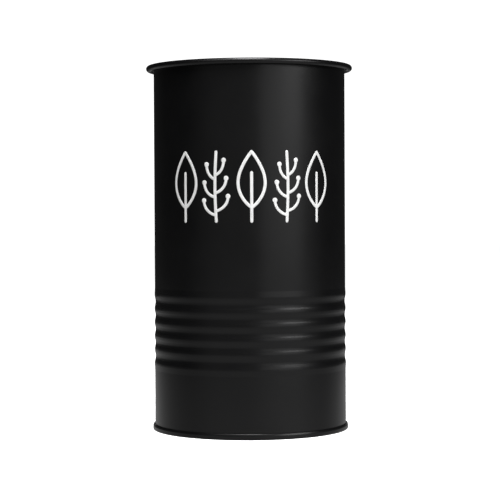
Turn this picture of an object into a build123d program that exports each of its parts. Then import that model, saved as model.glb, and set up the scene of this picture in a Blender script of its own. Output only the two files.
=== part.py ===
from build123d import *

import os
from cmath import phase, rect
from math import copysign, radians, tan

# A countertop wipes dispenser: a round sheet-steel canister with six swaged ribs, a lift-out plastic
# liner with its roll of wipes, a plug lid with a curled rim, and a nozzle under a hinged cap, set down into
# that lid.
# Millimetres. +Z is up, the front is -Y, and the origin is the centre of the ring that it stands on.

# Whole object
TOTAL_HEIGHT = 241.4  # 9.5 in, to the top of the lid's curled rim
BODY_R = 63.5  # 5.0 in body, outside the wall
RIM_R = 68.5  # outside the curled rim

# Sheet steel and its folds
SHEET = 0.43
WALL_R = BODY_R - SHEET / 2  # centreline of the wall
FOOT_OUT = 0.22  # how much wider the wall is below the ribs
FOOT_WALL_R = WALL_R + FOOT_OUT
STACK_GAP = 0.05  # between two layers or flanges that rest on each other
LAYER = SHEET + STACK_GAP  # centreline to centreline of two layers folded flat
NO_LENGTH = 1e-6  # a straight this short is left out between two bends

# Ribs: corners of the zigzag that the swage rounds off, measured from the wall
RIB_COUNT = 6
RIB_LOW_Z = 44.6  # crest of the lowest rib
RIB_PITCH = 9.0
RIB_OUT = 0.38
RIB_END_OUT = 0.28  # the lowest and the highest rib
RIB_IN = 0.66
RIB_BEND = 8.0

# Double seam at the foot: five layers, three of them outside the wall
SEAM_HEIGHT = 4.0
SEAM_FOLD = LAYER  # centreline radius of its folds
SEAM_CORNER = 0.9  # centreline radius of its outer lower corner
SEAM_SHOULDER_Z = 2.7  # where the outer layer starts to lean in
SEAM_SHOULDER = 0.42  # how far it leans
SHOULDER_BENDS = (0.6, 0.31)  # foot and top of the leaning part
BODY_HOOK_Z = 2.6  # cut edge of the wall's hook
END_HOOK_Z = 1.35  # cut edge of the bottom's hook

# Recessed bottom
BASE_PANEL_Z = 3.6  # centreline
BASE_BEAD_R = (42.0, 52.0)
BASE_BEAD_DROP = 1.1
BEAD_SLOPE = 1.4  # how far a panel bead's side leans
PANEL_BEND = 1.0

# Lock seam down the back
LOCK_SEAM_ARC = 5.2  # degrees
LOCK_SEAM_PROUD = 0.39
LOCK_SEAM_END_GAP = 0.8  # from the foot seam and from the hem

# Lid
RIM_BEAD_R = 1.95
RIM_CURL_R = RIM_BEAD_R - SHEET / 2  # centreline
RIM_CURL_TURN = 300.0  # degrees, from the flange round to the curl's cut edge
PANEL_TOP_Z = 230.0
PLUG_R = 59.6  # outside the plug wall
PLUG_BENDS = (1.2, 1.0)  # foot and top
LID_HOLE_R = 20.4
LID_BEAD_R = (43.0, 51.0)
LID_BEAD_RISE = 0.8
GROOVE_Z = (231.6, 237.6)
GROOVE_DEPTH = 0.6
GROOVE_BEND = 0.5

# Liner
LINER_WALL = 1.2
LINER_FLANGE_TOP_Z = TOTAL_HEIGHT - SHEET - STACK_GAP
LINER_FLANGE_R = 64.2
LINER_MOUTH_R = 62.0
LINER_FOOT_R = 59.0
LINER_FOOT_Z = 6.0
LINER_FOOT_BEND = 5.0
LINER_TOP_BEND = 1.2

# Hem at the canister's top edge
HEM_TOP_Z = LINER_FLANGE_TOP_Z - LINER_WALL - STACK_GAP
HEM_FOLD = 0.32  # centreline radius
HEM_TIP_Z = 238.2

# Roll of wipes
ROLL_R = 54.0
ROLL_CORE_R = 18.0
ROLL_WIDTH = 178.0  # 7 in wipes
ROLL_EDGE = 1.5

# Lid gasket
GASKET_SIDE_GAP = 0.05
GASKET_END_GAP = 0.7
GASKET_BASE_R = 59.9
GASKET_FIN_R = 60.4
GASKET_FINS = 3
GASKET_FIN_HEIGHT = 0.7

# Nozzle bezel
BEZEL_FLANGE_R = 32.0
BEZEL_FLANGE = 2.2
SPOUT_IN_R = 15.5
SPOUT_OUT_R = 17.5
SPOUT_TOP_Z = 235.5
NECK_OUT_R = 20.1
NECK_IN_R = 17.6
NECK_FOOT_Z = 222.0
EDGE = 0.8  # rounding of moulded edges
SMALL_EDGE = 0.4

# Washer, membrane and retainer under the lid's panel
WASHER_R = (20.6, 27.5)
WASHER = 1.0
MEMBRANE = 1.6
MEMBRANE_R = 19.6
MEMBRANE_HOLE_R = 5.0
PETAL_FOOT_R = 13.0
PETAL_RISE = 3.4
PETAL = 1.1
PETAL_COUNT = 6
SLIT = 0.8
SLIT_END_R = 11.5
RETAINER_IN_R = 20.3
RETAINER_OUT_R = 23.6
RETAINER_FLANGE_R = 28.0
RETAINER_FLANGE = 2.4
RETAINER_LIP_R = 14.5
RETAINER_LIP = 1.8
GRIP_COUNT = 18
GRIP_R = 1.2

# Flip cap and its hinge
CAP_R = 23.5
CAP_WALL = 1.6
CAP_TOP_Z = 239.2
CAP_UNDER_Z = 236.2
CAP_FOOT_Z = 232.7
CAP_EDGE = 1.5
TAB_WIDTH = 17.0
TAB_FRONT_Y = -28.5
TAB_Z = (234.4, 236.8)
TAB_CORNER = 3.0
HINGE_Y = 26.5
HINGE_Z = 236.2
KNUCKLE_R = 2.6
KNUCKLE_WIDTH = 13.2
ARM_FRONT_Y = 22.3
ARM_Z = (234.7, 238.4)
EAR_X = (7.0, 10.0)
PIN_R = 1.0
PIN_LENGTH = 20.8
PIN_CHAMFER = 0.25
PIN_RUNNING_GAP = 0.06
LUG_WIDTH = 8.0
LUG_Y = (-21.2, -19.8)
LUG_TOP_Z = 234.8

# Cap seal
SEAL_R = (14.9, 18.2)
SEAL_GROOVE = 0.6
SEAL_GAP = 0.05


def place(flat):
    """The 3-D place of a cross-section's point, held as radius + height * 1j."""
    return Vector(flat.real, 0, flat.imag)


def straight(start, end):
    return Line(place(start), place(end))


def arc(start, centre, turn):
    """Arc of a cross-section from start, about centre, by turn radians, anticlockwise positive."""
    halfway, end = (centre + (start - centre) * rect(1, turn * share) for share in (0.5, 1))
    return ThreePointArc(place(start), place(halfway), place(end))


def unit(step):
    return step / abs(step)


def rounded_corner(before, corner, after, radius):
    """Where the rounding starts and ends, and how far it turns."""
    way_in, way_out = unit(corner - before), unit(after - corner)
    turn = phase(way_out / way_in)
    setback = radius * tan(abs(turn) / 2)
    return corner - way_in * setback, corner + way_out * setback, turn


def strip_runs(corners, bends, curl):
    """A strip's centreline as runs: start, direction, length, bend radius and turn."""
    line = [complex(*corner) for corner in corners]
    runs, here = [], line[0]
    for corner, after, bend in zip(line[1:], line[2:], bends):
        start, end, turn = rounded_corner(here, corner, after, bend)
        way = unit(corner - here)
        if abs(start - here) > NO_LENGTH:
            runs.append((here, way, abs(start - here), 0, 0))
        runs.append((start, way, 0, bend, turn))
        here = end
    way = unit(line[-1] - here)
    runs.append((here, way, abs(line[-1] - here), 0, 0))
    if curl:
        runs.append((line[-1], way, 0, curl[0], -radians(curl[1])))
    return runs


def bent_strip(corners, bends, thickness, curl=None):
    """Cross-section of a sheet of even thickness, bent at each inner corner to its centreline radius.

    curl is the radius of a rolled edge after the last corner, and its clockwise turn in degrees.
    """
    edges, ends = [], []
    for side in (1, -1):
        trail = []
        for start, way, length, bend, turn in strip_runs(corners, bends, curl):
            first = start + way * 1j * side * thickness / 2
            if turn:
                trail.append(arc(first, start + way * 1j * copysign(bend, turn), turn))
            else:
                trail.append(straight(first, first + way * length))
        edges += trail
        ends.append((trail[0] @ 0, trail[-1] @ 1))
    (left_start, left_end), (right_start, right_end) = ends
    return make_face([*edges, Line(left_start, right_start), Line(left_end, right_end)])


def outline(*corners):
    """Closed cross-section through corners of radius, height and, where rounded, a rounding."""
    points = [complex(*corner[:2]) for corner in corners]
    rounds = [corner[2] if len(corner) > 2 else 0 for corner in corners]
    turns = []
    for count, (corner, radius) in enumerate(zip(points, rounds)):
        before, after = points[count - 1], points[(count + 1) % len(points)]
        turns.append((*rounded_corner(before, corner, after, radius), unit(corner - before), radius))
    edges = []
    for count, (start, end, turn, way, radius) in enumerate(turns):
        if radius:
            edges.append(arc(start, start + way * 1j * copysign(radius, turn), turn))
        edges.append(straight(end, turns[(count + 1) % len(turns)][0]))
    return make_face(edges)


def turned(face):
    """A whole turn of a cross-section about Z."""
    return revolve(face, Axis.Z, 360)


def block(x, y, z):
    """A box between two values along each axis."""
    low = Vector(x[0], y[0], z[0])
    return Pos(low) * Box(x[1] - x[0], y[1] - y[0], z[1] - z[0], align=(Align.MIN, Align.MIN, Align.MIN))


def centred(width):
    return -width / 2, width / 2


def plain_ring(inner_r, outer_r, foot_z, top_z):
    return turned(outline((inner_r, foot_z), (outer_r, foot_z), (outer_r, top_z), (inner_r, top_z)))


def rod_along_x(radius, length, y, z):
    return Pos(0, y, z) * Rot(0, 90, 0) * Cylinder(radius, length)


def ribbed_wall(foot_z, top_z, outward=0.0):
    """Centreline corners of the wall, upwards: its foot, the ribs drawing in, and the plain wall."""
    radius = FOOT_WALL_R + outward
    corners = [(radius, foot_z), (radius, RIB_LOW_Z - RIB_PITCH / 2)]
    for count in range(RIB_COUNT):
        radius -= FOOT_OUT / RIB_COUNT
        crest_z = RIB_LOW_Z + RIB_PITCH * count
        crest = RIB_END_OUT if count in (0, RIB_COUNT - 1) else RIB_OUT
        corners += [(radius + crest, crest_z), (radius - RIB_IN, crest_z + RIB_PITCH / 2)]
    corners[-1] = (radius, corners[-1][1])
    return [*corners, (radius, top_z)]


def rib_bends():
    return [RIB_BEND] * (2 * RIB_COUNT + 1)


def make_body_shell():
    hook_r = FOOT_WALL_R + 2 * SEAM_FOLD
    hook_z = SHEET / 2 + LAYER  # centreline under the hook
    top_z = HEM_TOP_Z - SHEET / 2
    hem_r = WALL_R + 2 * HEM_FOLD
    wall = ribbed_wall(hook_z, top_z)
    corners = [(hook_r, BODY_HOOK_Z), (hook_r, hook_z), *wall, (hem_r, top_z), (hem_r, HEM_TIP_Z)]
    bends = [SEAM_FOLD] * 2 + rib_bends() + [HEM_FOLD] * 2
    shell = turned(bent_strip(corners, bends, SHEET))
    seam_width = SHEET / 2 + LOCK_SEAM_PROUD
    foot_z = SEAM_HEIGHT + LOCK_SEAM_END_GAP
    seam_corners = ribbed_wall(foot_z, HEM_TIP_Z - LOCK_SEAM_END_GAP, seam_width / 2)
    seam = revolve(bent_strip(seam_corners, rib_bends(), seam_width), Axis.Z, LOCK_SEAM_ARC)
    return shell + Rot(0, 0, 90 - LOCK_SEAM_ARC / 2) * seam


def panel_bead(radii, base_z, rise):
    """Corners of a pressed ring, from its inner foot to its outer foot."""
    inner, outer = radii
    top_z = base_z + rise
    return [(inner, base_z), (inner + BEAD_SLOPE, top_z), (outer - BEAD_SLOPE, top_z), (outer, base_z)]


def make_base_disc():
    chuck_r = FOOT_WALL_R - LAYER
    seam_r = FOOT_WALL_R + 3 * LAYER
    hook_r = seam_r - 2 * SEAM_FOLD
    foot_z, top_z = SHEET / 2, SEAM_HEIGHT - SHEET / 2
    corners = [
        (0, BASE_PANEL_Z),
        *panel_bead(BASE_BEAD_R, BASE_PANEL_Z, -BASE_BEAD_DROP),
        (chuck_r, BASE_PANEL_Z),
        (chuck_r, foot_z),
        (seam_r, foot_z),
        (seam_r, SEAM_SHOULDER_Z),
        (seam_r - SEAM_SHOULDER, top_z),
        (hook_r, top_z),
        (hook_r, END_HOOK_Z),
    ]
    shoulder_foot, shoulder_top = SHOULDER_BENDS
    bends = [PANEL_BEND] * 5 + [SEAM_FOLD, SEAM_CORNER, shoulder_foot, shoulder_top, shoulder_top]
    return turned(bent_strip(corners, bends, SHEET))


def make_liner_tub():
    floor_z = LINER_FOOT_Z + LINER_WALL / 2
    flange_z = LINER_FLANGE_TOP_Z - LINER_WALL / 2
    foot_r = LINER_FOOT_R - LINER_WALL / 2
    mouth_r = LINER_MOUTH_R - LINER_WALL / 2
    corners = [(0, floor_z), (foot_r, floor_z), (mouth_r, flange_z), (LINER_FLANGE_R, flange_z)]
    return turned(bent_strip(corners, [LINER_FOOT_BEND, LINER_TOP_BEND], LINER_WALL))


def make_wipes_roll():
    foot_z = LINER_FOOT_Z + LINER_WALL
    top_z = foot_z + ROLL_WIDTH
    return turned(
        outline(
            (ROLL_CORE_R, foot_z),
            (ROLL_R, foot_z, ROLL_EDGE),
            (ROLL_R, top_z, ROLL_EDGE),
            (ROLL_CORE_R, top_z, ROLL_EDGE),
        )
    )


def make_lid_pan():
    panel_z = PANEL_TOP_Z - SHEET / 2
    flange_z = TOTAL_HEIGHT - SHEET / 2
    plug_r = PLUG_R - SHEET / 2
    groove_r = plug_r - GROOVE_DEPTH
    groove_low, groove_high = GROOVE_Z
    corners = [
        (LID_HOLE_R, panel_z),
        *panel_bead(LID_BEAD_R, panel_z, LID_BEAD_RISE),
        (plug_r, panel_z),
        (plug_r, groove_low),
        (groove_r, groove_low + GROOVE_DEPTH),
        (groove_r, groove_high - GROOVE_DEPTH),
        (plug_r, groove_high),
        (plug_r, flange_z),
        (RIM_R - RIM_BEAD_R, flange_z),
    ]
    foot_bend, top_bend = PLUG_BENDS
    bends = [PANEL_BEND] * 4 + [foot_bend] + [GROOVE_BEND] * 4 + [top_bend]
    return turned(bent_strip(corners, bends, SHEET, curl=(RIM_CURL_R, RIM_CURL_TURN)))


def make_lid_gasket():
    inner_r = PLUG_R - GROOVE_DEPTH + GASKET_SIDE_GAP
    foot_z, top_z = GROOVE_Z[0] + GASKET_END_GAP, GROOVE_Z[1] - GASKET_END_GAP
    ring = plain_ring(inner_r, GASKET_BASE_R, foot_z, top_z)
    pitch = (top_z - foot_z) / GASKET_FINS
    for count in range(GASKET_FINS):
        low = foot_z + pitch * (count + 0.5) - GASKET_FIN_HEIGHT / 2
        high = low + GASKET_FIN_HEIGHT
        root_r = (inner_r + GASKET_BASE_R) / 2
        ring += turned(outline((root_r, low), (GASKET_BASE_R, low), (GASKET_FIN_R, high), (root_r, high)))
    return ring


def make_nozzle_bezel():
    flange_top = PANEL_TOP_Z + BEZEL_FLANGE
    bezel = turned(
        outline(
            (NECK_IN_R, NECK_FOOT_Z, SMALL_EDGE),
            (NECK_OUT_R, NECK_FOOT_Z, SMALL_EDGE),
            (NECK_OUT_R, PANEL_TOP_Z),
            (BEZEL_FLANGE_R, PANEL_TOP_Z),
            (BEZEL_FLANGE_R, flange_top, EDGE),
            (SPOUT_OUT_R, flange_top, SMALL_EDGE),
            (SPOUT_OUT_R, SPOUT_TOP_Z, SMALL_EDGE),
            (SPOUT_IN_R, SPOUT_TOP_Z, SMALL_EDGE),
            (SPOUT_IN_R, PANEL_TOP_Z),
            (NECK_IN_R, PANEL_TOP_Z),
        )
    )
    ear_y = (HINGE_Y - KNUCKLE_R, HINGE_Y + KNUCKLE_R)
    root_z = flange_top - BEZEL_FLANGE / 2
    ear_inner, ear_outer = EAR_X
    for ear in ((-ear_outer, -ear_inner), EAR_X):
        post = block(ear, ear_y, (root_z, HINGE_Z))
        knuckle = Pos(sum(ear) / 2, 0, 0) * rod_along_x(KNUCKLE_R, ear_outer - ear_inner, HINGE_Y, HINGE_Z)
        bezel += post + knuckle
    bezel += block(centred(LUG_WIDTH), LUG_Y, (root_z, LUG_TOP_Z))
    return bezel - rod_along_x(PIN_R, 2 * PIN_LENGTH, HINGE_Y, HINGE_Z)


def make_bezel_washer():
    top_z = PANEL_TOP_Z - SHEET
    return plain_ring(*WASHER_R, top_z - WASHER, top_z)


def make_nozzle_membrane():
    top_z, foot_z = NECK_FOOT_Z, NECK_FOOT_Z - MEMBRANE
    membrane = turned(
        outline(
            (RETAINER_LIP_R, foot_z),
            (MEMBRANE_R, foot_z),
            (MEMBRANE_R, top_z),
            (PETAL_FOOT_R, top_z, SMALL_EDGE),
            (MEMBRANE_HOLE_R, foot_z + PETAL_RISE + PETAL, SMALL_EDGE),
            (MEMBRANE_HOLE_R, foot_z + PETAL_RISE, SMALL_EDGE),
            (PETAL_FOOT_R, foot_z, SMALL_EDGE),
        )
    )
    for count in range(PETAL_COUNT):
        slit = block((0, SLIT_END_R), centred(SLIT), (foot_z - MEMBRANE, foot_z + 2 * PETAL_RISE))
        membrane -= Rot(0, 0, 360 / PETAL_COUNT * (count + 0.5)) * slit
    return membrane


def make_bezel_retainer():
    top_z = PANEL_TOP_Z - SHEET - WASHER
    seat_z = NECK_FOOT_Z - MEMBRANE
    foot_z = seat_z - RETAINER_LIP
    flange_z = top_z - RETAINER_FLANGE
    ring = turned(
        outline(
            (RETAINER_LIP_R, foot_z, SMALL_EDGE),
            (RETAINER_OUT_R, foot_z, EDGE),
            (RETAINER_OUT_R, flange_z),
            (RETAINER_FLANGE_R, flange_z, EDGE),
            (RETAINER_FLANGE_R, top_z),
            (RETAINER_IN_R, top_z),
            (RETAINER_IN_R, seat_z),
            (RETAINER_LIP_R, seat_z),
        )
    )
    grip_height = flange_z - foot_z
    grip = Pos(RETAINER_OUT_R, 0, flange_z - grip_height / 2 + SMALL_EDGE) * Cylinder(GRIP_R, grip_height)
    bore = Pos(0, 0, (foot_z + top_z) / 2) * Cylinder(RETAINER_IN_R, 2 * (top_z - foot_z))
    grips = Part() + [Rot(0, 0, 360 / GRIP_COUNT * count) * grip for count in range(GRIP_COUNT)]
    return ring + (grips - bore)


def make_cap_hinge_pin():
    pin = Cylinder(PIN_R, PIN_LENGTH)
    pin = chamfer(pin.edges().filter_by(GeomType.CIRCLE), PIN_CHAMFER)
    return Pos(0, HINGE_Y, HINGE_Z) * Rot(0, 90, 0) * pin


def make_flip_cap():
    groove_in, groove_out = SEAL_R[0] - SEAL_GAP, SEAL_R[1] + SEAL_GAP
    groove_z = CAP_UNDER_Z + SEAL_GROOVE
    cap = turned(
        outline(
            (0, CAP_UNDER_Z),
            (groove_in, CAP_UNDER_Z),
            (groove_in, groove_z),
            (groove_out, groove_z),
            (groove_out, CAP_UNDER_Z),
            (CAP_R - CAP_WALL, CAP_UNDER_Z, SMALL_EDGE),
            (CAP_R - CAP_WALL, CAP_FOOT_Z, SMALL_EDGE),
            (CAP_R, CAP_FOOT_Z, SMALL_EDGE),
            (CAP_R, CAP_TOP_Z, CAP_EDGE),
            (0, CAP_TOP_Z),
        )
    )
    tab_back_y = -(CAP_R - CAP_WALL / 2)
    tab = block(centred(TAB_WIDTH), (TAB_FRONT_Y, -CAP_R / 2), TAB_Z)
    front_corners = tab.edges().filter_by(Axis.Z).group_by(Axis.Y)[0]
    tab = fillet(front_corners, TAB_CORNER)
    tab -= Pos(0, 0, HINGE_Z) * Cylinder(-tab_back_y, 2 * BEZEL_FLANGE_R)
    arm = block(centred(KNUCKLE_WIDTH), (0, HINGE_Y), ARM_Z)
    arm -= Pos(0, 0, HINGE_Z) * Cylinder(ARM_FRONT_Y, 2 * BEZEL_FLANGE_R)
    cap += tab + arm + rod_along_x(KNUCKLE_R, KNUCKLE_WIDTH, HINGE_Y, HINGE_Z)
    return cap - rod_along_x(PIN_R + PIN_RUNNING_GAP, 2 * KNUCKLE_WIDTH, HINGE_Y, HINGE_Z)


def make_cap_seal():
    inner_r, outer_r = SEAL_R
    foot_z = SPOUT_TOP_Z + SEAL_GAP
    top_z = CAP_UNDER_Z + SEAL_GROOVE
    foot = (inner_r, foot_z, SMALL_EDGE), (outer_r, foot_z, SMALL_EDGE)
    return turned(outline(*foot, (outer_r, top_z), (inner_r, top_z)))


PARTS = {
    "body_shell": make_body_shell,
    "base_disc": make_base_disc,
    "liner_tub": make_liner_tub,
    "wipes_roll": make_wipes_roll,
    "lid_pan": make_lid_pan,
    "lid_gasket": make_lid_gasket,
    "nozzle_bezel": make_nozzle_bezel,
    "bezel_washer": make_bezel_washer,
    "bezel_retainer": make_bezel_retainer,
    "nozzle_membrane": make_nozzle_membrane,
    "cap_hinge_pin": make_cap_hinge_pin,
    "flip_cap": make_flip_cap,
    "cap_seal": make_cap_seal,
}

os.makedirs("parts", exist_ok=True)
for name, make in PARTS.items():
    export_step(make(), f"parts/{name}.step")
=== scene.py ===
from math import cos, pi, radians, sin

import bmesh
import bpy
import numpy as np
from mathutils import Matrix, Vector


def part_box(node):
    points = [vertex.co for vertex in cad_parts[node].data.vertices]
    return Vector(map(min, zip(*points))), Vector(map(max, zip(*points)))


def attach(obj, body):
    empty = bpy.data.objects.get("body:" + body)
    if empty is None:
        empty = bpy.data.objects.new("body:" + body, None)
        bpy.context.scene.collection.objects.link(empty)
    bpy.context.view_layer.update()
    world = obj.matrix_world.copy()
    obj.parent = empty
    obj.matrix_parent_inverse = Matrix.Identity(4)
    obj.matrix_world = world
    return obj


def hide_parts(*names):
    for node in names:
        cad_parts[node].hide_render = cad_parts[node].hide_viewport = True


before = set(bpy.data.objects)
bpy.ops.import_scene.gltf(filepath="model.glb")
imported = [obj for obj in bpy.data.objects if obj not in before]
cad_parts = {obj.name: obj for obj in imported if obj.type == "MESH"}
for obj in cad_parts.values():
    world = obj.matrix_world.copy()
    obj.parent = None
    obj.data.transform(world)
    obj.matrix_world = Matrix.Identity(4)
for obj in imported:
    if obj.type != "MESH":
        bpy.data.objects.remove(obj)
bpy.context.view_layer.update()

# A countertop wipes dispenser: a powder-coated steel canister with ribs, a plug lid with a curled rim, a
# nozzle under a hinged cap, and a liner with its roll of wipes inside. Metres; the front is -Y.

MM = 0.001

WALL_R = 63.5 * MM  # outside the canister's plain wall, which the frame's box doesn't show on its own

# Camera
CAMERA_DISTANCE = 1.146
CAMERA_HEIGHT = 0.1455
CAMERA_PITCH = radians(-1.326)
CAMERA_ROLL = radians(-0.28)
CAMERA_SIDE = 0.08 * MM
CAMERA_LENS = 123.6
CAMERA_SENSOR = 36.0
CAMERA_CLIP_END = 50.0


def link(obj):
    bpy.context.scene.collection.objects.link(obj)
    return obj


# ---------------------------------------------------------------- materials

def material(name):
    """A new node material and its Principled shader."""
    made = bpy.data.materials.new(name)
    made.use_nodes = True
    return made, made.node_tree.nodes["Principled BSDF"]


def node(made, kind, **values):
    """Adds a node, with its properties or input values set by name."""
    new = made.node_tree.nodes.new(kind)
    for key, value in values.items():
        if hasattr(new, key):
            setattr(new, key, value)
        else:
            new.inputs[key.replace("_", " ")].default_value = value
    return new


def wire(made, source, target):
    made.node_tree.links.new(source, target)


def noise(made, scale, detail=3.0, rough=0.5, stretch=(1, 1, 1)):
    """Noise over the object's own coordinates, drawn out along an axis where stretch is below 1.

    Scale is in cells per metre.
    """
    where = node(made, "ShaderNodeTexCoord")
    sized = node(made, "ShaderNodeMapping")
    sized.inputs["Scale"].default_value = stretch
    wire(made, where.outputs["Object"], sized.inputs["Vector"])
    made_noise = node(made, "ShaderNodeTexNoise", Scale=scale, Detail=detail, Roughness=rough)
    wire(made, sized.outputs["Vector"], made_noise.inputs["Vector"])
    return made_noise.outputs["Fac"]


def remap(made, value, low, high, from_low=0.3, from_high=0.7):
    """Stretches a range of a value, by default the middle of a noise, to between low and high."""
    ranged = node(made, "ShaderNodeMapRange", From_Min=from_low, From_Max=from_high)
    ranged.inputs["To Min"].default_value = low
    ranged.inputs["To Max"].default_value = high
    wire(made, value, ranged.inputs["Value"])
    return ranged.outputs["Result"]


def mix_colours(made, factor, first, second):
    mixed = node(made, "ShaderNodeMix", data_type="RGBA")
    mixed.inputs["A"].default_value = (*first, 1)
    mixed.inputs["B"].default_value = (*second, 1)
    wire(made, factor, mixed.inputs["Factor"])
    return mixed.outputs["Result"]


def bump(made, shader, height, strength, distance, under=None):
    """Gives the shader relief, over the relief under it where there is one."""
    relief = node(made, "ShaderNodeBump", Strength=strength, Distance=distance)
    wire(made, height, relief.inputs["Height"])
    if under:
        wire(made, under, relief.inputs["Normal"])
    wire(made, relief.outputs["Normal"], shader.inputs["Normal"])
    return relief.outputs["Normal"]


def tint(made, shader, value, first, second):
    """Base colour between two colours, by a noise value."""
    wire(made, mix_colours(made, remap(made, value, 0, 1), first, second), shader.inputs["Base Color"])


def roughen(made, shader, value, low, high):
    """Roughness between two levels, by a noise value."""
    wire(made, remap(made, value, low, high), shader.inputs["Roughness"])


def milky(shader, weight, depth):
    """Lets light a little way in, by the same depth in every colour."""
    shader.inputs["Subsurface Weight"].default_value = weight
    shader.inputs["Subsurface Radius"].default_value = (1, 1, 1)
    shader.inputs["Subsurface Scale"].default_value = depth


def powder_coat():
    """Black powder coat: a fine orange peel over a slow unevenness in gloss."""
    made, shader = material("powder_coat_black")
    cloudy = noise(made, 45, detail=4)
    peel = noise(made, 1400, detail=2)
    tint(made, shader, cloudy, (0.0026, 0.0026, 0.0028), (0.0034, 0.0034, 0.0036))
    roughen(made, shader, cloudy, 0.28, 0.32)
    shader.inputs["Specular IOR Level"].default_value = 0.25
    bump(made, shader, peel, strength=0.05, distance=0.2 * MM)
    return made


def polypropylene():
    """Natural moulded polypropylene: milky, with a faint drag along the draw direction."""
    made, shader = material("polypropylene_natural")
    drag = noise(made, 260, stretch=(1, 1, 0.05))
    tint(made, shader, drag, (0.42, 0.43, 0.42), (0.50, 0.51, 0.50))
    roughen(made, shader, drag, 0.38, 0.5)
    milky(shader, weight=0.25, depth=2 * MM)
    bump(made, shader, drag, strength=0.12, distance=0.3 * MM)
    return made


def nonwoven():
    """Spunlace nonwoven: matted fibres over a slow mottle."""
    made, shader = material("nonwoven_white")
    fibres = noise(made, 1800, detail=6, rough=0.7, stretch=(1, 1, 0.25))
    mottle = noise(made, 160)
    tint(made, shader, mottle, (0.58, 0.58, 0.57), (0.68, 0.68, 0.67))
    shader.inputs["Roughness"].default_value = 0.9
    shader.inputs["Sheen Weight"].default_value = 0.25
    milky(shader, weight=0.15, depth=1 * MM)
    mottled = bump(made, shader, mottle, strength=0.25, distance=0.8 * MM)
    bump(made, shader, fibres, strength=0.5, distance=0.3 * MM, under=mottled)
    return made


def silicone():
    """Translucent grey silicone with a dusty bloom."""
    made, shader = material("silicone_grey")
    bloom = noise(made, 120, detail=4)
    tint(made, shader, bloom, (0.15, 0.155, 0.155), (0.20, 0.205, 0.205))
    roughen(made, shader, bloom, 0.42, 0.6)
    milky(shader, weight=0.3, depth=1.5 * MM)
    bump(made, shader, noise(made, 900, detail=2), strength=0.08, distance=0.2 * MM)
    return made


def moulded_black():
    """Black moulded plastic with a spark-eroded grain."""
    made, shader = material("moulded_plastic_black")
    grain = node(made, "ShaderNodeTexVoronoi", Scale=2500.0)
    wire(made, node(made, "ShaderNodeTexCoord").outputs["Object"], grain.inputs["Vector"])
    cloudy = noise(made, 70)
    tint(made, shader, cloudy, (0.011, 0.011, 0.012), (0.015, 0.015, 0.016))
    roughen(made, shader, cloudy, 0.44, 0.54)
    bump(made, shader, grain.outputs["Distance"], strength=0.12, distance=0.1 * MM)
    return made


def drawn_wire():
    """Stainless wire, scratched lengthwise by the die."""
    made, shader = material("drawn_stainless")
    scratches = noise(made, 900, stretch=(0.04, 1, 1))
    tint(made, shader, scratches, (0.52, 0.52, 0.53), (0.66, 0.66, 0.66))
    roughen(made, shader, scratches, 0.2, 0.38)
    shader.inputs["Metallic"].default_value = 1.0
    bump(made, shader, scratches, strength=0.1, distance=0.1 * MM)
    return made


def white_enamel():
    """White printing ink, slightly uneven in coverage."""
    made, shader = material("enamel_white")
    cover = noise(made, 350)
    tint(made, shader, cover, (0.70, 0.70, 0.695), (0.78, 0.78, 0.775))
    roughen(made, shader, cover, 0.45, 0.6)
    bump(made, shader, cover, strength=0.06, distance=0.2 * MM)
    return made


COAT = powder_coat()
MOULDED = moulded_black()
SILICONE = silicone()
FINISHES = {
    "body_shell": COAT,
    "base_disc": COAT,
    "lid_pan": COAT,
    "liner_tub": polypropylene(),
    "lid_gasket": SILICONE,
    "bezel_washer": SILICONE,
    "nozzle_membrane": SILICONE,
    "cap_seal": SILICONE,
    "nozzle_bezel": MOULDED,
    "bezel_retainer": MOULDED,
    "flip_cap": MOULDED,
    "cap_hinge_pin": drawn_wire(),
}
for name, finish in FINISHES.items():
    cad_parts[name].material_slots[0].material = finish


# ---------------------------------------------------------------- ornament on the front

STROKE = 2.0 * MM
RELIEF = 0.12 * MM
RING = 10  # points round a stroke
STEP = 0.7 * MM  # between two rings
CAP_ANGLES = [radians(angle) for angle in (75, 50, 25)]  # rings of a stroke's rounded end, from its tip
ORNAMENT_LOW = 138.6 * MM
ORNAMENT_HIGH = 182.4 * MM
ORNAMENT_HEIGHT = ORNAMENT_HIGH - ORNAMENT_LOW
ORNAMENT_SIDE = 1.3 * MM  # how far right of the front its middle is printed
MOTIF_PITCH = 22.9 * MM
MOTIFS_EACH_SIDE = 2  # of the middle one

LEAF_REACH = 8.6 * MM
LEAF_FOOT = 0.2  # share of the height where the blade starts
LEAF_BELLY = 0.85  # below 1, the blade is widest below its middle
LEAF_FULLNESS = 0.9  # below 1, the blade is fuller than a sine
RIB_TOP = 0.62  # share of the blade that the midrib covers

SPRIG_REACH = 8.2 * MM
SPRIG_LEAN = 0.8 * MM  # of a sprig one pitch from the middle
TWIG_PAIRS = ((0.12, 1.0), (0.38, 0.9), (0.64, 0.7))  # share of the height at the root, share of the reach
TWIG_STAGGER = 0.03  # share of the height between a pair's middle and each root
TWIG_RISE = 0.21 * ORNAMENT_HEIGHT
TWIG_LENGTH = 1.4 * TWIG_RISE
TWIG_SWEEP = 1.6  # above 1, a twig sets out level and bends up
TWIG_STROKE = 0.9 * STROKE
BUD = 1.6 * STROKE
BUD_LENGTH = 0.01 * MM


def on_wall(along, height, lift):
    """A point on the wall, by its arc length to the right of the front and its distance off the wall."""
    angle = along / WALL_R
    return Vector(((WALL_R + lift) * sin(angle), -(WALL_R + lift) * cos(angle), height))


def spaced(curve, length):
    """Points of a curve of one parameter from 0 to 1, about one step apart."""
    count = max(3, round(length / STEP))
    return [np.array(curve(index / count)) for index in range(count + 1)]


def directions(points):
    """The unit direction of a row of points at each of them."""
    last = len(points) - 1
    ways = [points[min(index + 1, last)] - points[max(index - 1, 0)] for index in range(len(points))]
    return [way / np.linalg.norm(way) for way in ways]


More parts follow.
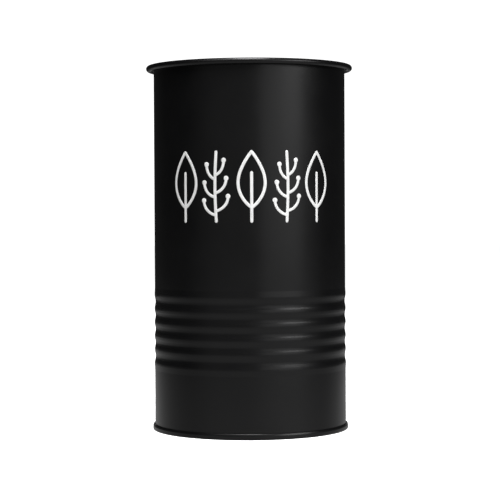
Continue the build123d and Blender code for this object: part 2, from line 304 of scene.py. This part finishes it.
def add_stroke(mesh, points, width):
    """Lays one round-ended, softly crowned stroke of ink on the wall along points of (along, height)."""
    half = width / 2
    ways = directions(points)
    rows = [(points[0] - ways[0] * half * sin(cap), ways[0], half * cos(cap)) for cap in CAP_ANGLES]
    rows += [(point, way, half) for point, way in zip(points, ways)]
    rows += [
        (points[-1] + ways[-1] * half * sin(cap), ways[-1], half * cos(cap)) for cap in reversed(CAP_ANGLES)
    ]
    rings = []
    for point, way, reach in rows:
        across = np.array((-way[1], way[0]))
        ring = []
        for index in range(RING):
            angle = 2 * pi * index / RING
            spot = point + across * reach * cos(angle)
            ring.append(mesh.verts.new(on_wall(*spot, RELIEF * reach / half * sin(angle))))
        rings.append(ring)
    for ring, after in zip(rings, rings[1:]):
        for index in range(RING):
            following = (index + 1) % RING
            mesh.faces.new((ring[index], ring[following], after[following], after[index]))
    for ring, way, point in ((rings[0][::-1], -ways[0], points[0]), (rings[-1], ways[-1], points[-1])):
        tip = mesh.verts.new(on_wall(*(point + way * half), 0))
        for index in range(RING):
            mesh.faces.new((ring[index], ring[(index + 1) % RING], tip))


def add_leaf(mesh, centre):
    """A tall outlined leaf with its midrib and a short stalk."""
    foot = ORNAMENT_LOW + LEAF_FOOT * ORNAMENT_HEIGHT
    blade = ORNAMENT_HIGH - foot
    rib = foot + RIB_TOP * blade - ORNAMENT_LOW

    def edge(side):
        def curve(share):
            belly = sin(pi * share ** LEAF_BELLY) ** LEAF_FULLNESS if 0 < share < 1 else 0
            return centre + side * LEAF_REACH * belly, foot + blade * share
        return curve

    for side in (-1, 1):
        add_stroke(mesh, spaced(edge(side), ORNAMENT_HEIGHT), STROKE)
    midrib = spaced(lambda share: (centre, ORNAMENT_LOW + rib * share), ORNAMENT_HEIGHT)
    add_stroke(mesh, midrib, STROKE)


def add_sprig(mesh, centre, lean):
    """A stem with three pairs of upswept twigs, each with a bud."""

    def stem(share):
        return centre + lean * sin(pi * share), ORNAMENT_LOW + ORNAMENT_HEIGHT * share

    def twig(root, reach):
        def curve(share):
            return root[0] + reach * sin(pi / 2 * share), root[1] + TWIG_RISE * share ** TWIG_SWEEP
        return curve

    add_stroke(mesh, spaced(stem, ORNAMENT_HEIGHT), STROKE)
    for level, share in TWIG_PAIRS:
        for side in (-1, 1):
            root = stem(level + TWIG_STAGGER * side)
            points = spaced(twig(root, side * SPRIG_REACH * share), TWIG_LENGTH)
            add_stroke(mesh, points, TWIG_STROKE)
            add_stroke(mesh, [points[-1], points[-1] + (0, BUD_LENGTH)], BUD)


def new_piece(name, mesh, finish):
    """Turns a finished mesh into a smooth object of one material."""
    bmesh.ops.recalc_face_normals(mesh, faces=mesh.faces)
    data = bpy.data.meshes.new(name)
    mesh.to_mesh(data)
    data.shade_smooth()
    data.materials.append(finish)
    return link(bpy.data.objects.new(name, data))


def make_ornament():
    """Leaves and sprigs by turns, in a row across the front."""
    mesh = bmesh.new()
    for count in range(-MOTIFS_EACH_SIDE, MOTIFS_EACH_SIDE + 1):
        centre = ORNAMENT_SIDE + count * MOTIF_PITCH
        if count % 2:
            add_sprig(mesh, centre, SPRIG_LEAN * count)
        else:
            add_leaf(mesh, centre)
    piece = new_piece("front_ornament", mesh, white_enamel())
    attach(piece, "canister")


make_ornament()


# ---------------------------------------------------------------- the roll of wipes

ROLL_CORE_R = 18.2 * MM
ROLL_PITCH = 0.75 * MM  # from one visible layer to the next
ROWS_PER_LAYER = 4
LAYER_RELIEF = (0.45 * MM, 0.12 * MM, 0, 0.12 * MM)  # how far each row of a layer lies below its crest
ROLL_COLUMNS = 128
ROLL_WALL_ROWS = 24
ROLL_EDGE = 1.4 * MM  # rounding of the roll's edges
ROLL_SLACK = 1.0 * MM  # what the cut edges vary by
WALL_SLACK = 0.12 * MM  # half of what the outer layer waves by
TAIL_LIFT = 0.9 * MM
TAIL_TURN = radians(16)
TAIL_AT = radians(-60)  # where the strip's outer end lies
MERGE = 1e-7  # metres: points closer than this are one


def wound_edge(turns):
    """How far a layer's cut edge lies in from the roll's end, from 0 to 1, at so many turns along."""
    waves = 0.3 * sin(2.1 * turns) + 0.25 * sin(5.3 * turns + 1) + 0.25 * sin(11.7 * turns + 2)
    return 0.5 + 0.5 * waves + 0.1 * sin(47 * turns)


def roll_section(angle, foot_z, top_z, layers):
    """One cross-section of the roll as (radius, height): out over its top, down, in below, up the core."""
    begun = angle / (2 * pi)
    first = ROLL_CORE_R + ROLL_PITCH * begun
    last = first + ROLL_PITCH * layers
    tail = max(0, 1 - (2 * pi - angle) / TAIL_TURN)
    loose = TAIL_LIFT * tail * tail

    def end_rows(sign, start_z):
        rows = []
        for row in range(layers * ROWS_PER_LAYER + 1):
            turns = begun + row / ROWS_PER_LAYER
            radius = ROLL_CORE_R + ROLL_PITCH * turns
            inset = ROLL_PITCH * min(turns, layers + 1 - turns)
            edge = max(0, 1 - inset / ROLL_EDGE)
            drop = LAYER_RELIEF[row % ROWS_PER_LAYER] + ROLL_SLACK * wound_edge(turns)
            drop += ROLL_EDGE * (1 - (1 - edge * edge) ** 0.5)
            outermost = max(0, 1 - (last - radius) / ROLL_PITCH)
            rows.append((radius + loose * outermost, start_z - sign * drop))
        return rows

    top = end_rows(1, top_z)
    foot = end_rows(-1, foot_z)
    shares = [step / ROLL_WALL_ROWS for step in range(1, ROLL_WALL_ROWS)]
    section = list(top)
    for share in shares:
        height = top[-1][1] + (foot[-1][1] - top[-1][1]) * share
        waves = sin(5 * angle + 9 * share) + sin(3 * angle - 14 * share)
        section.append((last + loose + WALL_SLACK * sin(pi * share) * waves, height))
    section += reversed(foot)
    section += [(first, foot[0][1] + (top[0][1] - foot[0][1]) * share) for share in shares]
    return section


def make_wipes_roll():
    """The roll: one strip wound from the core outwards, its cut edges showing on both ends."""
    low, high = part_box("wipes_roll")
    layers = int((high.x - TAIL_LIFT - ROLL_CORE_R) / ROLL_PITCH) - 1
    mesh = bmesh.new()
    columns = []
    for column in range(ROLL_COLUMNS + 1):
        angle = 2 * pi * column / ROLL_COLUMNS
        section = roll_section(angle, low.z, high.z, layers)
        turn = angle + TAIL_AT
        points = [(radius * cos(turn), radius * sin(turn), height) for radius, height in section]
        columns.append([mesh.verts.new(point) for point in points])
    for column, after in zip(columns, columns[1:]):
        for index in range(len(column)):
            below = (index + 1) % len(column)
            mesh.faces.new((column[index], column[below], after[below], after[index]))
    bmesh.ops.remove_doubles(mesh, verts=mesh.verts, dist=MERGE)
    open_edges = [edge for edge in mesh.edges if edge.is_boundary]
    bmesh.ops.holes_fill(mesh, edges=open_edges, sides=0)
    piece = new_piece("wound_wipes", mesh, nonwoven())
    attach(piece, "liner")
    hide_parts("wipes_roll")


make_wipes_roll()


# ---------------------------------------------------------------- stage, light and camera

FLOOR_R = 6.0
FLOOR_SEGMENTS = 96
BACKDROP_R = 9.0
BACKDROP_SEGMENTS = 48

SOFTBOX_AIM = Vector((0, 0, 0.12))
SOFTBOX_DISTANCE = 1.3

# The room: dim all round, with a pale wall behind the camera and a paler one to the camera's right
DIM_LEVEL = 0.025
PALE_LEVEL = 0.24
PALER_LEVEL = 0.38
PALE_FROM = -60  # edges of the walls, in degrees to the right of the camera
PALER_FROM = 35
PALER_TO = 80
WALL_BLEND = 15  # degrees to each side of an edge over which one level passes into the next
ROOM_BAND = (0.25, 0.5)  # heights on the unit sphere where the room starts to darken and is dark


def glowing_white(name):
    """A white that reads as pure white whatever light falls on it."""
    made, shader = material(name)
    shader.inputs["Base Color"].default_value = (1, 1, 1, 1)
    shader.inputs["Emission Color"].default_value = (1, 1, 1, 1)
    shader.inputs["Emission Strength"].default_value = 1.0
    return made


def add_stage(name, mesh):
    """A piece of the stage that only the camera sees."""
    data = bpy.data.meshes.new(name)
    mesh.to_mesh(data)
    data.materials.append(glowing_white(name + "_white"))
    stage = link(bpy.data.objects.new(name, data))
    for ray in ("diffuse", "glossy", "transmission", "volume_scatter", "shadow"):
        setattr(stage, "visible_" + ray, False)


def make_stage():
    """A plain white floor and backdrop. Lamps at floor level give the light that a floor would bounce."""
    floor = bmesh.new()
    bmesh.ops.create_circle(floor, cap_ends=True, segments=FLOOR_SEGMENTS, radius=FLOOR_R)
    add_stage("floor", floor)
    backdrop = bmesh.new()
    bmesh.ops.create_uvsphere(
        backdrop, u_segments=BACKDROP_SEGMENTS, v_segments=BACKDROP_SEGMENTS // 2, radius=BACKDROP_R
    )
    add_stage("backdrop", backdrop)


def add_lamp(name, radiance, size, shape="RECTANGLE"):
    """An area lamp that the camera doesn't see, of the given radiance and size in metres."""
    light = bpy.data.lights.new(name, "AREA")
    light.shape = shape
    light.size, light.size_y = size
    area = pi * size[0] * size[1] / 4 if shape == "DISK" else size[0] * size[1]
    light.energy = radiance * pi * area
    lamp = link(bpy.data.objects.new(name, light))
    lamp.visible_camera = False
    return lamp


def softbox(name, azimuth, elevation, size, radiance):
    """A softbox round the object. Azimuth is to the right of the camera, in degrees."""
    lamp = add_lamp(name, radiance, size)
    across, up = radians(azimuth), radians(elevation)
    way = Vector((sin(across) * cos(up), -cos(across) * cos(up), sin(up)))
    lamp.location = SOFTBOX_AIM + way * SOFTBOX_DISTANCE
    lamp.rotation_mode = "QUATERNION"
    lamp.rotation_quaternion = way.to_track_quat("Z", "Y")


def bounce(name, radius, radiance):
    """Light that comes back up from the floor round the object."""
    lamp = add_lamp(name, radiance, (2 * radius, 2 * radius), "DISK")
    lamp.rotation_euler = (pi, 0, 0)


def add_room_levels(stops):
    """Sets the room's levels on a ramp of a whole turn, which starts and ends behind the object."""
    stops.remove(stops[1])
    stops[0].color = (DIM_LEVEL, DIM_LEVEL, DIM_LEVEL, 1)
    levels = (DIM_LEVEL, PALE_LEVEL, PALER_LEVEL, DIM_LEVEL)
    for edge, before, after in zip((PALE_FROM, PALER_FROM, PALER_TO), levels, levels[1:]):
        for angle, level in ((edge - WALL_BLEND, before), (edge + WALL_BLEND, after)):
            stops.new((angle + 180) / 360).color = (level, level, level, 1)


def make_world():
    """The dim room round the object, darkening upwards."""
    world = bpy.data.worlds.new("room")
    bpy.context.scene.world = world
    world.use_nodes = True
    parts = node(world, "ShaderNodeSeparateXYZ")
    wire(world, node(world, "ShaderNodeTexCoord").outputs["Generated"], parts.inputs["Vector"])
    towards_camera = node(world, "ShaderNodeMath", operation="MULTIPLY")
    towards_camera.inputs[1].default_value = -1
    wire(world, parts.outputs["Y"], towards_camera.inputs[0])
    # 0 towards the camera, and positive to its right
    azimuth = node(world, "ShaderNodeMath", operation="ARCTAN2")
    wire(world, parts.outputs["X"], azimuth.inputs[0])
    wire(world, towards_camera.outputs["Value"], azimuth.inputs[1])
    ramp = node(world, "ShaderNodeValToRGB")
    wire(world, remap(world, azimuth.outputs["Value"], 0, 1, -pi, pi), ramp.inputs["Fac"])
    add_room_levels(ramp.color_ramp.elements)
    product = node(world, "ShaderNodeMath", operation="MULTIPLY")
    wire(world, ramp.outputs["Color"], product.inputs[0])
    wire(world, remap(world, parts.outputs["Z"], 1, 0, *ROOM_BAND), product.inputs[1])
    background = world.node_tree.nodes["Background"]
    wire(world, product.outputs["Value"], background.inputs["Strength"])
    background.inputs["Color"].default_value = (1, 1, 1, 1)


make_stage()
make_world()
softbox("key", azimuth=56, elevation=24.5, size=(0.7, 0.34), radiance=8.6)
softbox("key_low", azimuth=38, elevation=8, size=(1.2, 0.45), radiance=1.15)
softbox("front", azimuth=-15, elevation=50, size=(1.4, 0.5), radiance=4.0)
softbox("rear", azimuth=180, elevation=20, size=(0.5, 0.9), radiance=0.8)
softbox("top", azimuth=-1, elevation=76, size=(0.44, 0.9), radiance=21.0)
bounce("bounce", radius=0.35, radiance=0.46)
bounce("bounce_far", radius=0.8, radiance=0.34)

bpy.context.scene.view_settings.view_transform = "Standard"

camera_data = bpy.data.cameras.new("camera")
camera_data.lens = CAMERA_LENS
camera_data.sensor_width = CAMERA_SENSOR
camera_data.clip_end = CAMERA_CLIP_END
camera = link(bpy.data.objects.new("camera", camera_data))
turn = Matrix.Rotation(pi / 2 + CAMERA_PITCH, 4, "X") @ Matrix.Rotation(CAMERA_ROLL, 4, "Z")
camera.matrix_world = Matrix.Translation((CAMERA_SIDE, -CAMERA_DISTANCE, CAMERA_HEIGHT)) @ turn
bpy.context.scene.camera = camera
